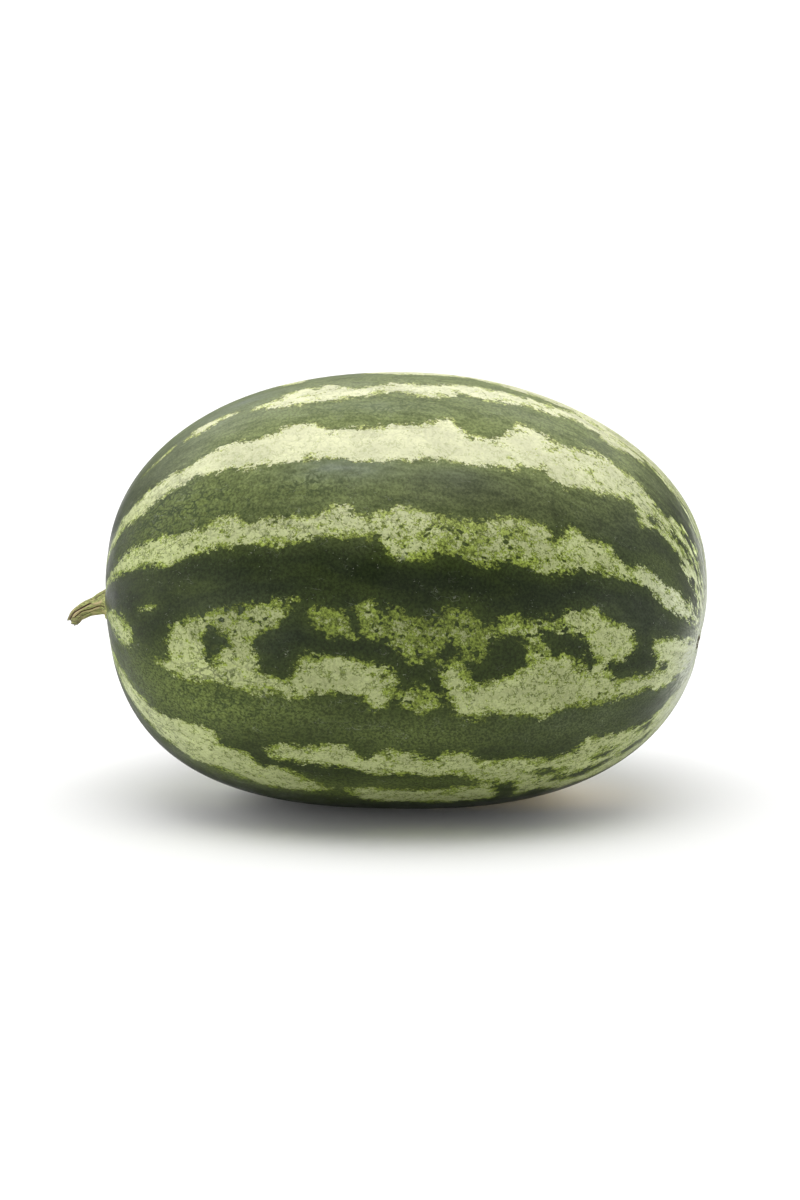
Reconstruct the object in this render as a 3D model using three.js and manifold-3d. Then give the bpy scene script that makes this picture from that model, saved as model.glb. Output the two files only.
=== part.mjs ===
// A whole striped watermelon lying on its side, with the dried stub of its stem.
// Millimetres. +Z is up and +X runs along the fruit, from the stem end to the blossom end.
// The origin is the middle of the small flat spot that the fruit rests on.

import * as THREE from "three";
import { mergeVertices } from "three/addons/utils/BufferGeometryUtils.js";
import Module from "manifold-3d";

// Fruit
const HALF_LENGTH = 164;
const HALF_DEPTH = 120.7;
const HALF_HEIGHT = 119.5;
const FLAT_SPOT_DEPTH = 1.5;
const FLAT_SPOT_OFFSET = 1.9;
const ROUNDNESS = 2.03;
const STEM_END_FULLNESS = 0.12;
const UNDERSIDE_FULLNESS = 0.49;
const CROWN_LEAN = -6.3;
const UNDERSIDE_LEAN = -1.9;
const STEM_END_LIFT = 2.1;
const BLOSSOM_END_LIFT = 2.6;
const FRUIT_SLICES = 72;
const FRUIT_RINGS = 44;

// Where the growth lines meet, as offsets from the ends of the long axis of a unit fruit
const STEM_POLE = { depth: -0.01, height: -0.073 };
const BLOSSOM_POLE = { depth: -0.21, height: -0.225 };
const DIMPLE_DEPTH = 1.8;
const DIMPLE_RADIUS = 13;

// Stem
const STEM_SIDES = 30;
const STEM_STEPS = 24;
const STEM_RIBS = 5;
const STEM_RIB_HEIGHT = 0.07;
const STEM_GAP = 0.3;

// Centre line of the stem from its root inside the fruit to its cut tip, from the stem pole,
// with the stem's radius at each point
const STEM_LINE = [
  { x: 7, y: 0, z: -0.9, radius: 11.2 },
  { x: 0.6, y: 0, z: -0.7, radius: 8.6 },
  { x: -2, y: -0.1, z: -0.8, radius: 6.3 },
  { x: -5.2, y: -0.4, z: -1.8, radius: 5.1 },
  { x: -9.4, y: -0.8, z: -3.1, radius: 4.5 },
  { x: -13, y: -1.3, z: -4.8, radius: 4.1 },
  { x: -16, y: -1.7, z: -6.9, radius: 3.7 },
  { x: -17.6, y: -2, z: -9, radius: 3.4 },
  { x: -19.1, y: -2.1, z: -11.1, radius: 2.9 },
];

const wasm = await Module();
wasm.setup();

function smoothStep(value) {
  const t = Math.min(Math.max(value, 0), 1);
  return t * t * (3 - 2 * t);
}

// Turns a direction on the unit sphere, whose poles are on the X axis, into one whose poles
// are at the stem and at the blossom scar.
function bentDirection(direction) {
  const stemShare = ((1 - direction.x) / 2) ** 3;
  const blossomShare = ((1 + direction.x) / 2) ** 3;
  return new THREE.Vector3(
    direction.x,
    direction.y + stemShare * STEM_POLE.depth + blossomShare * BLOSSOM_POLE.depth,
    direction.z + stemShare * STEM_POLE.height + blossomShare * BLOSSOM_POLE.height,
  ).normalize();
}

// The fruit's outline is a rounded oval, fuller underneath and at the stem end, whose crown
// leans a little towards the stem.
function roundedPoint(direction, growth) {
  const bent = bentDirection(direction);
  const around = Math.hypot(bent.y, bent.z);
  const stemEnd = smoothStep(0.5 - bent.x / 1.4);
  const underside = smoothStep(0.5 - bent.z / 1.6);
  const power = ROUNDNESS + STEM_END_FULLNESS * stemEnd + UNDERSIDE_FULLNESS * underside;
  const reach = (Math.abs(bent.x) ** power + around ** power) ** (-1 / power);
  const x = bent.x * reach;
  const z = bent.z * reach;
  const lean = z > 0 ? CROWN_LEAN : UNDERSIDE_LEAN;
  const lift = x < 0 ? STEM_END_LIFT : BLOSSOM_END_LIFT;
  return new THREE.Vector3(
    (HALF_LENGTH + growth) * x + lean * z * z + FLAT_SPOT_OFFSET,
    (HALF_DEPTH + growth) * bent.y * reach,
    (HALF_HEIGHT + growth) * z + lift * x * x + HALF_HEIGHT - FLAT_SPOT_DEPTH,
  );
}

function poleOf(side) {
  return roundedPoint(new THREE.Vector3(side, 0, 0), 0);
}

// The surface with the shallow dimple round the blossom scar.
function fruitPoint(direction, growth) {
  const point = roundedPoint(direction, growth);
  const distance = point.distanceTo(poleOf(1));
  point.x -= DIMPLE_DEPTH * Math.exp(-((distance / DIMPLE_RADIUS) ** 2));
  return point;
}

function solidOf(geometry) {
  const plain = geometry.clone();
  plain.deleteAttribute("normal");
  plain.deleteAttribute("uv");
  const merged = mergeVertices(plain, 1e-4);
  const mesh = new wasm.Mesh({
    numProp: 3,
    vertProperties: new Float32Array(merged.attributes.position.array),
    triVerts: new Uint32Array(merged.index.array),
  });
  return new wasm.Manifold(mesh);
}

function geometryOf(solid) {
  const mesh = solid.getMesh();
  const geometry = new THREE.BufferGeometry();
  geometry.setAttribute("position", new THREE.BufferAttribute(new Float32Array(mesh.vertProperties), 3));
  geometry.setIndex(new THREE.BufferAttribute(new Uint32Array(mesh.triVerts), 1));
  geometry.computeVertexNormals();
  return geometry;
}

function roundFruit(growth) {
  const geometry = new THREE.SphereGeometry(1, FRUIT_SLICES, FRUIT_RINGS);
  geometry.rotateZ(-Math.PI / 2);
  const position = geometry.attributes.position;
  const direction = new THREE.Vector3();
  for (let i = 0; i < position.count; i += 1) {
    direction.fromBufferAttribute(position, i).normalize();
    const point = fruitPoint(direction, growth);
    position.setXYZ(i, point.x, point.y, point.z);
  }
  return solidOf(geometry);
}

// The underside is flat over a small patch where the fruit lies on the ground.
function fruitSolid() {
  const ground = new THREE.BoxGeometry(3 * HALF_LENGTH, 3 * HALF_DEPTH, 40);
  ground.translate(0, 0, -20);
  return roundFruit(0).subtract(solidOf(ground));
}

function stemRadius(share) {
  const place = share * (STEM_LINE.length - 1);
  const index = Math.min(Math.floor(place), STEM_LINE.length - 2);
  const blend = place - index;
  return STEM_LINE[index].radius * (1 - blend) + STEM_LINE[index + 1].radius * blend;
}

// A ribbed stub that flares where it joins the fruit and curves down to a cut tip.
function stemSolid() {
  const root = poleOf(-1);
  const points = STEM_LINE.map((point) => new THREE.Vector3(point.x, point.y, point.z).add(root));
  const curve = new THREE.CatmullRomCurve3(points, false, "centripetal");
  const geometry = new THREE.CylinderGeometry(1, 1, 1, STEM_SIDES, STEM_STEPS);
  const position = geometry.attributes.position;
  const across = new THREE.Vector3();
  const side = new THREE.Vector3();
  for (let i = 0; i < position.count; i += 1) {
    const share = position.getY(i) + 0.5;
    const width = Math.hypot(position.getX(i), position.getZ(i));
    const turn = Math.atan2(position.getZ(i), position.getX(i));
    const centre = curve.getPoint(share);
    const along = curve.getTangent(share);
    side.set(0, 1, 0).cross(along).normalize();
    across.crossVectors(side, along);
    const rib = 1 + STEM_RIB_HEIGHT * Math.cos(STEM_RIBS * turn + 2 * share);
    const radius = width * stemRadius(share) * rib;
    centre.addScaledVector(side, radius * Math.cos(turn));
    centre.addScaledVector(across, radius * Math.sin(turn));
    position.setXYZ(i, centre.x, centre.y, centre.z);
  }
  return solidOf(geometry).subtract(roundFruit(STEM_GAP));
}

function piece(name, solid, colour, roughness) {
  const material = new THREE.MeshStandardMaterial({ color: colour, roughness, metalness: 0 });
  const mesh = new THREE.Mesh(geometryOf(solid), material);
  mesh.name = name;
  return mesh;
}

const watermelon = new THREE.Group();
watermelon.name = "watermelon";
watermelon.add(piece("fruit", fruitSolid(), 0x58683a, 0.42));
watermelon.add(piece("stem", stemSolid(), 0x8c8a5c, 0.8));

export default watermelon;
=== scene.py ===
"""A whole striped watermelon with the dried stub of its stem, lying on a pale floor."""

import math

import bpy
import numpy as np
from bpy.props import FloatProperty, FloatVectorProperty, IntProperty, PointerProperty
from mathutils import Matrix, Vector


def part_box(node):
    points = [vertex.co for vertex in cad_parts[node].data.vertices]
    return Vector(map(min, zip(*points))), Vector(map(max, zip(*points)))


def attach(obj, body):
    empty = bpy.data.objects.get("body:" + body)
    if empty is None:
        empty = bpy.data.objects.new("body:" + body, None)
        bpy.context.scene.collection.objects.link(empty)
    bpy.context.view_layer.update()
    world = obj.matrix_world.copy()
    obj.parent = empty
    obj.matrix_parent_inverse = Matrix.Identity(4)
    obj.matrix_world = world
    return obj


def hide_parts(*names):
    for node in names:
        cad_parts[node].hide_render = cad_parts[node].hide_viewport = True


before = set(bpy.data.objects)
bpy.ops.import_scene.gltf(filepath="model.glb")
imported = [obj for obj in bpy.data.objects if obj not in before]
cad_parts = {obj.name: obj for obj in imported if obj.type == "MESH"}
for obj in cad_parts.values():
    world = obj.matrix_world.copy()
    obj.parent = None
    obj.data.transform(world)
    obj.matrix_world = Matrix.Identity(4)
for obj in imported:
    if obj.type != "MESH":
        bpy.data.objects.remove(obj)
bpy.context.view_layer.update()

bl_info = {
    "name": "Striped Watermelon",
    "version": (1, 0, 0),
    "blender": (4, 5, 0),
    "location": "View3D > Sidebar > Watermelon",
    "description": "Grows the rind, the blossom scar and the dried stem of a whole watermelon",
    "category": "Add Mesh",
}

# ---------------------------------------------------------------------------------------------
# The shape that the rind and the stem share, in metres. The stem end is at -X.

FRUIT_LOW, FRUIT_HIGH = (np.array(corner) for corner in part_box("fruit"))

# How much the flat spot takes off the bottom of the fruit
FLAT_SPOT_DEPTH = 0.0015
HALF_LENGTH = (FRUIT_HIGH[0] - FRUIT_LOW[0]) / 2
HALF_DEPTH = (FRUIT_HIGH[1] - FRUIT_LOW[1]) / 2
HALF_HEIGHT = (FRUIT_HIGH[2] - FRUIT_LOW[2] + FLAT_SPOT_DEPTH) / 2
MIDDLE = (FRUIT_HIGH[0] + FRUIT_LOW[0]) / 2

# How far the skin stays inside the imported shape
INSET = 0.0002

# How full the shape is, where 2 is an ellipsoid, and how much fuller it is at the stem end and
# underneath
ROUNDNESS = 2.03
STEM_END_FULLNESS = 0.12
UNDERSIDE_FULLNESS = 0.49

# How far the crown and the underside lean along the fruit, and how far its ends are raised
CROWN_LEAN = -0.0063
UNDERSIDE_LEAN = -0.0019
STEM_END_LIFT = 0.0021
BLOSSOM_END_LIFT = 0.0026

# How far the poles are off the axis, sideways and upwards, on a ball of radius one
STEM_POLE = (-0.01, -0.073)
BLOSSOM_POLE = (-0.21, -0.225)

# The full shoulder of the fruit: its height, and its place and reach in radians
SHOULDER_HEIGHT = 0.0012
SHOULDER_PLACE = (2.24, 1.6)
SHOULDER_REACH = (0.5, 0.6)

# A small angle, in radians, over which slopes of the skin are measured
NUDGE = 1e-3

# Places along the middle of the stem, from the stem pole, with the radius of the stem at each,
# and the depth of the hollow in its broken tip
STEM_LINE = (
    (0.0040, 0.0000, -0.0009, 0.0106),
    (0.0006, 0.0000, -0.0007, 0.0086),
    (-0.0020, -0.0001, -0.0008, 0.0063),
    (-0.0052, -0.0004, -0.0018, 0.0051),
    (-0.0094, -0.0008, -0.0031, 0.0045),
    (-0.0130, -0.0013, -0.0048, 0.0041),
    (-0.0160, -0.0017, -0.0069, 0.0037),
    (-0.0176, -0.0020, -0.0090, 0.0034),
    (-0.0189, -0.0021, -0.0110, 0.0029),
)
STEM_HOLLOW = 0.0014

# The point that the camera looks at
CAMERA_TARGET = (MIDDLE - 0.0033, 0, 0.1126)

# ---------------------------------------------------------------------------------------------
# Pale patches of the rind. Each outline is a ring of (degrees from the stem pole towards the
# blossom pole, degrees round the fruit from its front, with the crown at 90).

PALE_OUTLINES = (
    # crown, where two thin stripes run together
    ((84, 103), (100, 104), (115, 106), (130, 107), (150, 106), (188, 104), (188, 95), (160, 94),
     (150, 90), (137, 89), (118, 92), (112, 91), (104, 94), (96, 91), (84, 93)),
    ((67, 98), (74, 97), (73, 91), (69, 91)),
    ((28, 99), (40, 103), (54, 102), (52, 98), (38, 97)),
    ((62, 77), (68, 80), (74, 83.5), (79, 83), (82, 80), (87, 81.5), (90, 83.5), (96, 83),
     (101, 85), (108, 87), (113, 88), (118, 89), (122, 92), (137, 91), (137, 84), (132, 83),
     (129, 80), (126, 84), (121, 85), (118, 81), (112, 79), (106, 76.5), (101, 77.5), (97, 73),
     (93, 73.5), (90, 76), (86, 74), (80, 72), (71, 71.5), (65, 74)),
    ((36, 76), (40, 78), (46, 78), (45, 75), (39, 74)),
    ((48, 76), (51, 80), (60, 80), (61, 77), (52, 74)),
    # broad stripe on the shoulder
    ((-8, 58), (20, 58), (30, 61), (48, 60), (57, 61.5), (66, 61), (70, 63.5), (75, 63), (78, 59),
     (84, 61), (90, 61.5), (96, 63), (99.5, 66), (103, 60.5), (108, 61), (110, 65), (112, 71),
     (120, 68), (127, 73), (137, 73), (141, 68), (150, 73), (165, 75), (188, 75), (188, 58),
     (162, 56), (154, 51), (150, 56), (142, 57), (138, 52), (135, 60), (131, 57), (121, 51),
     (116, 54), (110, 51), (97, 50), (84, 48), (76, 50), (62, 50), (52, 53), (36, 50), (20, 50),
     (-8, 48)),
    # ragged stripe above the middle
    ((-8, 30), (18, 33), (26, 37), (38, 37), (50, 34), (58, 37), (62, 34), (73, 34), (78, 36),
     (84, 34), (90, 36), (104, 34), (109, 38), (117, 38), (119, 34), (122, 40), (127, 38),
     (131, 39), (136, 34), (141, 38), (148, 36), (158, 39), (165, 40), (188, 40), (188, 31),
     (165, 30), (156, 25), (147, 26), (142, 30), (137, 28), (124, 27), (119, 22), (112, 24),
     (104, 22), (97, 25), (94, 22), (89, 22), (85, 27), (74, 27), (67, 25), (63, 26), (50, 26),
     (44, 24), (32, 25), (18, 26), (-8, 22)),
    # broken double stripe: the patch by the stem, the ring, the upper strand and the lower strand
    ((-8, 8), (17, 6), (22, 8), (28, 5), (32, 0), (32.5, -4), (31, -12), (26, -13), (20, -9),
     (15, -6), (-8, -10)),
    ((35, 8.7), (36.5, 10), (39, 10.6), (41, 9.5), (39.5, 8.4), (37, 8)),
    ((42, -4), (43, -1), (44, 3), (47, 5), (50, 7.5), (55, 9.5), (60, 9.5), (67, 11), (68, 7),
     (66, 3.5), (63, 1), (62.5, -2), (64, -8), (68, -9.5), (70, -6), (70.6, -2.4), (74, -2.6),
     (79, -3), (84, -4.5), (88, -7), (89, -12), (87, -16), (84, -19), (82, -15), (74, -14),
     (71, -16), (67, -15), (61, -16), (57, -14), (52, -15.5), (46, -15), (40, -11), (44, -8)),
    ((71, 8), (73, 11), (77, 10), (80, 7), (80.5, 2), (76, 2), (73, 4.5)),
    ((80.5, 9), (83, 12), (86, 9), (87, 3), (84, 1), (81.5, 3)),
    ((86, 4), (87, 10), (91, 9), (95, 7), (98, 12), (102, 11), (105, 6), (108, 8.5), (111, 10),
     (113, 9), (117, 9.5), (121, 8), (121, 6), (117, 6.5), (117, 4), (118, 0), (113, 0),
     (112.5, 2.5), (110, 4.5), (107, 3), (104, -3.5), (101, -3), (98, 1), (95, -3), (91, -4),
     (87, 0)),
    ((120.5, 12), (123, 14.5), (127, 16.5), (130, 15), (135, 12.5), (139, 10.5), (141, 6),
     (140.5, 1), (137, -2), (132, -3.5), (129, -1), (127, 4), (123.5, 6), (120.5, 7.5)),
    ((95.5, -8), (96, -4), (99, -2.5), (102, -5), (103.5, -9), (107, -8.5), (110, -7),
     (112.3, -4.5), (112.8, 1), (117.5, 2), (119, -1), (122, 1), (124, -4), (126, 0), (128, -4),
     (131, -1), (133, -6), (137, -9), (143, -8), (147, -9), (149, -3), (146, 3), (146, 9),
     (151, 10), (156, 13), (161, 11), (168, 13), (188, 14), (188, -26), (165, -20), (160, -21),
     (155, -24), (150, -21), (146, -19), (134, -20), (124, -19), (117, -22), (108, -20),
     (102, -22), (99, -19), (97, -13)),
    ((87.5, -12), (92, -10), (96, -12), (98, -17), (93, -20), (88, -17)),
    # stripes below the middle, which run together towards the blossom end
    ((-8, -30), (15, -27), (24, -29), (33, -34), (44, -34), (48, -31), (54, -31), (56, -36),
     (61, -38), (64, -42), (68, -41), (72, -46), (77, -51), (75, -54), (68, -56), (62, -55),
     (56, -52), (50, -53), (40, -51), (32, -48), (24, -45), (-8, -44)),
    ((64, -34), (66, -30), (72, -31), (78, -29.5), (82, -35), (85, -32), (92, -32), (95, -36),
     (98, -33), (102, -32), (105, -37), (112, -36), (120, -40), (125, -39), (128, -34), (134, -36),
     (141, -39), (148, -42), (154, -42), (157, -38), (165, -41), (188, -44), (188, -78),
     (165, -79), (152, -79), (141, -74), (130, -70), (122, -67), (118, -60), (112, -62),
     (111, -53), (108, -49), (104, -48), (100, -42), (94, -44), (88, -42), (84, -43), (80, -40),
     (71, -39), (65, -38)),
    ((78.5, -50), (82, -49), (90, -50), (96, -51), (100, -49), (108, -49), (109, -56),
     (108.5, -61.5), (98, -62), (92, -61.5), (87, -60.5), (83, -59.5), (79.5, -55.5)),
    ((10, -84), (30, -83), (40, -84), (52, -83), (60, -85), (62, -90), (50, -92), (38, -91),
     (28, -90), (10, -88)),
)

# Thin places where the pale skin only shows through in specks
SPECKLED_OUTLINES = (
    ((114, 8), (117, 11), (121, 10), (121, 7), (117, 7)),
    ((68, 11), (71, 12), (71, 9), (68, 9)),
)

# Dark islands inside pale patches
DARK_OUTLINES = (
    ((52, 1.5), (54, 2.5), (56.5, 1.5), (57, -1), (55.5, -4), (54, -7), (52.5, -6), (52, -2)),
    ((150, -5), (153, -6), (153, -9), (150, -9)),
    ((109, -51), (112, -50), (112, -62), (109, -62)),
    ((117, -47), (123, -48.5), (123, -50), (118, -49.5)),
    ((120, -55), (129, -56.5), (135, -58.5), (128, -59)),
    ((131, -48), (137, -49.5), (136, -50.5), (131, -49.5)),
    ((139, -57), (148, -60), (147, -62), (140, -60)),
    ((145, -45), (149, -46), (148, -48), (145, -47)),
    ((140, 60), (143, 62), (143, 60), (141, 58.5)),
    ((146, 65.5), (151, 67), (154, 66), (149, 64.5)),
)

# Stripes of the far side: middle and half width in degrees round the fruit
FAR_STRIPES = ((124, 6.0), (150, 7.0), (177, 5.5), (203, 7.5), (229, 6.0), (253, 7.0))

# The creamy spot on the underside: its place and its reach in degrees
GROUND_PLACE = (104, -104)
GROUND_REACH = (38, 22)

# The height where the painted top light starts to lighten the skin, and the rise that it takes
# to reach its full strength, in metres
PAINTED_LIGHT_HEIGHT = 0.150
PAINTED_LIGHT_FADE = 0.075

# ---------------------------------------------------------------------------------------------
# Soft spots of the rind. Each is degrees along and round the fruit, as in the outlines, then
# its reach in millimetres along and round the fruit, then its strength.

# Where the skin has a net of fine dark cracks
CRACKED_PLACES = (
    (46, 43, 42, 20, 1.0),
    (74, 43, 30, 10, 0.7),
    (88, 70, 45, 25, 0.4),
    (56, -22, 40, 16, 0.5),
    (56, -7, 30, 22, 0.7),
    (24, -6, 22, 22, 0.6),
    (36, -43, 34, 14, 0.5),
    (70, 31, 30, 10, 0.5),
    (120, 170, 60, 40, 0.8),
    (60, 230, 50, 40, 0.6),
)

# Where dark flecks break up the pale stripes, or leave them clean if the strength is below zero
FLECKED_PLACES = (
    (104, 29, 42, 20, 0.95),
    (98, 5, 40, 18, 1.5),
    (76, 7, 20, 12, 0.9),
    (20, -32, 26, 12, 0.7),
    (136, -14, 16, 10, 0.3),
    (116, -52, 44, 26, 0.25),
    (24, -4, 22, 26, 0.25),
    (58, 7, 20, 9, 0.7),
    (60, 55, 60, 18, -1.0),
    (95, 56, 40, 16, -0.8),
    (112, -14, 16, 12, -0.4),
    (156, 0, 22, 26, -0.5),
    (152, 34, 26, 16, -1.1),
    (93, -14, 12, 10, 1.0),
    (40, -41, 30, 14, -0.9),
    (110, 150, 60, 40, 0.7),
    (60, 210, 60, 40, 0.6),
)

# Where the dark skin is a fresher green
FRESH_PLACES = (
    (48, 43, 44, 17, 0.62),
    (76, 42, 30, 12, 0.3),
    (146, 42, 24, 10, 0.25),
    (48, 15, 30, 12, 0.12),
    (50, -22, 50, 20, 0.85),
    (70, -19, 34, 9, 0.3),
    (92, -26, 50, 14, 0.5),
    (128, -28, 40, 14, 0.25),
    # Painted bounce light: this row greens the underside band in place of warm light bounced from
    # below
    (96, -47, 60, 8, 0.3),
    (62, -52, 70, 14, 0.5),
    (82, 69, 44, 18, 0.1),
    (70, 130, 70, 30, 0.6),
    (120, 215, 70, 40, 0.5),
)

# Where the dark skin is deeper
DEEP_PLACES = (
    (104, 43, 36, 12, 0.48),
    (36, 68, 44, 22, 0.3),
    (22, 18, 20, 16, 0.3),
    (96, 16, 60, 10, 0.1),
    (78, 69, 50, 8, -0.12),
    (46, 79, 18, 8, 0.2),
)

# Where wax leaves grey patches on the dark skin, partly painted sheen of the crown and the outline
BLOOM_AND_SHEEN_PLACES = (
    (80, 47, 26, 8, 0.8),
    (100, 46, 20, 7, 0.35),
    (52, 80, 50, 26, 0.5),
    (84, 97, 60, 16, 0.5),
    (62, 85, 24, 8, 0.45),
    (110, 76, 40, 12, 0.2),
    (86, 69, 42, 8, 0.4),
    (138, 43, 34, 14, 0.05),
    (142, 15, 42, 18, 0.08),
    (60, 4, 26, 18, 0.1),
    (134, -24, 60, 18, 0.12),
    (166, -24, 26, 26, 0.35),
    (90, 200, 60, 40, 0.4),
)

# Where dust and wax dull the pale skin
DUSTY_PLACES = (
    (168, 10, 50, 90, 0.75),
    (150, 34, 28, 18, 0.6),
    (36, -42, 40, 16, 0.3),
)

# Where the skin is drawn into long streaks
STREAKED_PLACES = (
    (156, 86, 46, 24, 2.8),
    (166, 104, 30, 22, 1.6),
    (124, 92, 50, 24, 0.7),
    (164, 40, 24, 40, 0.6),
    (158, -36, 34, 30, 0.7),
    (144, -68, 40, 24, 0.6),
    (24, -36, 34, 22, 1.0),
    (40, 92, 60, 24, 0.6),
)

# Where the skin is greyer beside the blossom scar, partly painted reflection along its outline
SCARRED_AND_SHEEN_PLACES = (
    (170, 102, 26, 20, 0.6),
    (157, 90, 26, 10, 0.55),
    (166, -16, 12, 20, 0.5),
    (169, -62, 26, 24, 0.75),
)

# Where the pale stripes are lighter, or duller if the strength is below zero
LIGHT_PLACES = (
    (38, 31, 50, 20, 0.42),
    (42, -40, 48, 22, 0.68),
    (36, 56, 42, 14, 0.34),
    (24, -4, 26, 26, 0.35),
    (50, -10, 26, 14, 0.55),
    (80, -11, 24, 10, -0.2),
    (96, 6, 36, 16, -0.8),
    (57, 5, 16, 12, -0.45),
    (76, 6, 26, 13, -0.42),
    (106, 27, 44, 20, -0.3),
    (122, -14, 30, 14, -0.22),
    (150, 33, 34, 22, 0.3),
    (160, -6, 30, 34, 0.35),
    (158, 68, 26, 22, 0.4),
    (93, -14, 12, 10, -0.3),
    (140, -50, 40, 20, 0.25),
    (60, 150, 60, 40, 0.3),
    (130, 230, 60, 40, -0.3),
)

# ---------------------------------------------------------------------------------------------
# Marks of the stem. Each is the share of its length where it starts and where it ends, its
# degrees round the stem at either end, from the top towards the front, and its half width
# and its depth or height in millimetres.

# Cracks that run along the stem
STEM_CRACKS = (
    (0.40, 0.97, 51, 44, 0.70, 1.00),
    (0.13, 0.84, 91, 77, 0.30, 0.60),
    (0.33, 0.84, 108, 112, 0.14, 0.20),
    (0.25, 0.70, 138, 146, 0.22, 0.35),
    (0.30, 0.95, 186, 178, 0.40, 0.70),
    (0.15, 0.60, 226, 220, 0.30, 0.50),
    (0.40, 0.92, 262, 270, 0.60, 0.90),
    (0.20, 0.75, 318, 310, 0.34, 0.60),
    (0.10, 0.40, 18, 24, 0.25, 0.35),
    (0.55, 0.98, 22, 30, 0.30, 0.40),
)

# Dry ridges between them
STEM_RIDGES = (
    (0.44, 0.88, 62, 59, 0.40, 0.40),
    (0.30, 0.60, 97, 93, 0.25, 0.20),
    (0.20, 0.45, 64, 66, 0.60, 0.20),
    (0.30, 0.85, 160, 160, 0.50, 0.25),
    (0.30, 0.80, 205, 200, 0.45, 0.25),
    (0.35, 0.90, 290, 294, 0.50, 0.30),
    (0.20, 0.60, 346, 340, 0.45, 0.25),
)

# ---------------------------------------------------------------------------------------------
# Settings. Lengths are in metres, except where a description says millimetres.


def colour_setting(name, description, default):
    return FloatVectorProperty(
        name=name, description=description, default=default, subtype="COLOR", min=0, max=1
    )


def length_setting(name, description, default):
    return FloatProperty(name=name, description=description, default=default, unit="LENGTH")


def share_setting(name, description, default):
    return FloatProperty(
        name=name, description=description, default=default, subtype="FACTOR", min=0, max=1
    )


def amount_setting(name, description, default):
    return FloatProperty(name=name, description=description, default=default, min=0)


def whole_setting(name, description, default, fewest, most):
    return IntProperty(
        name=name, description=description, default=default, min=fewest, max=most
    )


class FruitSettings(bpy.types.PropertyGroup):
    """Sizes and colours of the rind."""

    rings: whole_setting("Rings", "Rows of faces from the stem to the blossom scar", 238, 60, 240)
    slices: whole_setting("Slices", "Faces round the fruit", 400, 96, 408)
    dimple_depth: length_setting("Dimple Depth", "How far the blossom end is drawn in", 0.0018)
    dimple_radius: length_setting(
        "Dimple Radius", "Reach of the dimple round the blossom scar", 0.013
    )
    unevenness: length_setting("Unevenness", "Height of the slow swells of the rind", 0.00035)
    dark: colour_setting("Dark Green", "Colour of the dark bands", (0.0105, 0.0165, 0.0045))
    warm_dark: colour_setting(
        "Warm Green", "Yellower green that drifts through the dark bands", (0.036, 0.051, 0.009)
    )
    # Painted top light: the dark bands take this lighter colour towards the top of the fruit
    painted_lit_dark: colour_setting(
        "Painted_Lit Green", "Colour of the dark bands where the sun reached them", (0.163, 0.196, 0.073)
    )
    fresh_green: colour_setting(
        "Fresh Green",
        "Colour of the dark bands where they are a fresher green",
        (0.108, 0.140, 0.036),
    )
    # Partly painted sheen: this grey also stands in for reflections on the dark bands
    bloom: colour_setting("Bloom", "Grey of the waxy bloom on the dark bands", (0.15, 0.175, 0.125))
    fringe: colour_setting(
        "Fringe", "Olive green between the dark and the pale skin", (0.166, 0.214, 0.034)
    )
    # Painted top light: the fringe takes this lighter colour towards the top of the fruit
    painted_lit_fringe: colour_setting(
        "Painted_Lit Fringe", "Colour of the fringe where the sun reached it", (0.38, 0.42, 0.15)
    )
    pale: colour_setting("Pale Green", "Colour of the pale stripes", (0.318, 0.352, 0.160))
    # Painted top light: the pale stripes turn lighter and creamier towards the top of the fruit
    painted_lit_cream: colour_setting(
        "Painted_Lit Cream", "Colour of the pale stripes where the sun reached them", (0.63, 0.635, 0.42)
    )
    dust: colour_setting(
        "Dust", "Colour of the pale stripes where dust and wax dull them", (0.36, 0.385, 0.245)
    )
    ground_spot: colour_setting(
        "Ground Spot", "Creamy yellow where the fruit lay on the soil", (0.52, 0.42, 0.17)
    )
    cork: colour_setting(
        "Cork", "Colour of the small corky dots and scratches", (0.44, 0.465, 0.37)
    )
    wander: amount_setting("Wander", "How far the edges of the stripes wander, in millimetres", 8.0)
    bays: amount_setting("Bays", "How deep the bays of the edges are, in millimetres", 10.0)
    crumbs: amount_setting("Crumbs", "How far the edges crumble into specks, in millimetres", 14.0)
    pits: amount_setting(
        "Pits", "How deep the dark pits sink into the most flecked skin, in millimetres", 8.0
    )
    lace: amount_setting(
        "Lace", "How far the olive fringe reaches into the most flecked skin, in millimetres", 6.0
    )
    creases: share_setting(
        "Creases", "Strength of the fine creases between the lumps of pale skin", 0.8
    )
    gloss: share_setting("Roughness", "Roughness of the waxy skin", 0.42)
    shine: share_setting("Shine", "Strength of the reflections of the waxy skin", 0.12)


class ScarSettings(bpy.types.PropertyGroup):
    """Size and colour of the blossom scar."""

    radius: length_setting("Radius", "Radius of the corky scar", 0.0034)
    cork: colour_setting("Cork", "Colour of the scar", (0.06, 0.042, 0.024))
    rim: colour_setting("Rim", "Colour of the dry skin round the scar", (0.3, 0.31, 0.2))
    pits: colour_setting(
        "Pits", "Colour of the small pits in the cork", (0.016, 0.012, 0.008)
    )


class StemSettings(bpy.types.PropertyGroup):
    """Sizes and colours of the dried stem."""

    sides: whole_setting("Sides", "Faces round the stem", 144, 24, 240)
    steps: whole_setting("Steps", "Rows of faces along the stem", 150, 24, 300)
    rib_height: share_setting(
        "Rib Height", "How far the ribs stand out, as a share of the radius", 0.07
    )
    crack_depth: share_setting(
        "Crack Depth", "How deep the lengthwise cracks are, as a share of their full depth", 1.0
    )
    olive: colour_setting("Olive", "Colour of the skin of the stem", (0.27, 0.295, 0.095))
    tan: colour_setting("Tan", "Colour of the dry ridges", (0.46, 0.35, 0.20))
    crack: colour_setting("Crack", "Colour inside the cracks", (0.05, 0.03, 0.01))
    broken: colour_setting(
        "Broken End", "Colour of the fibres at the broken end", (0.10, 0.095, 0.05)
    )


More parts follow.
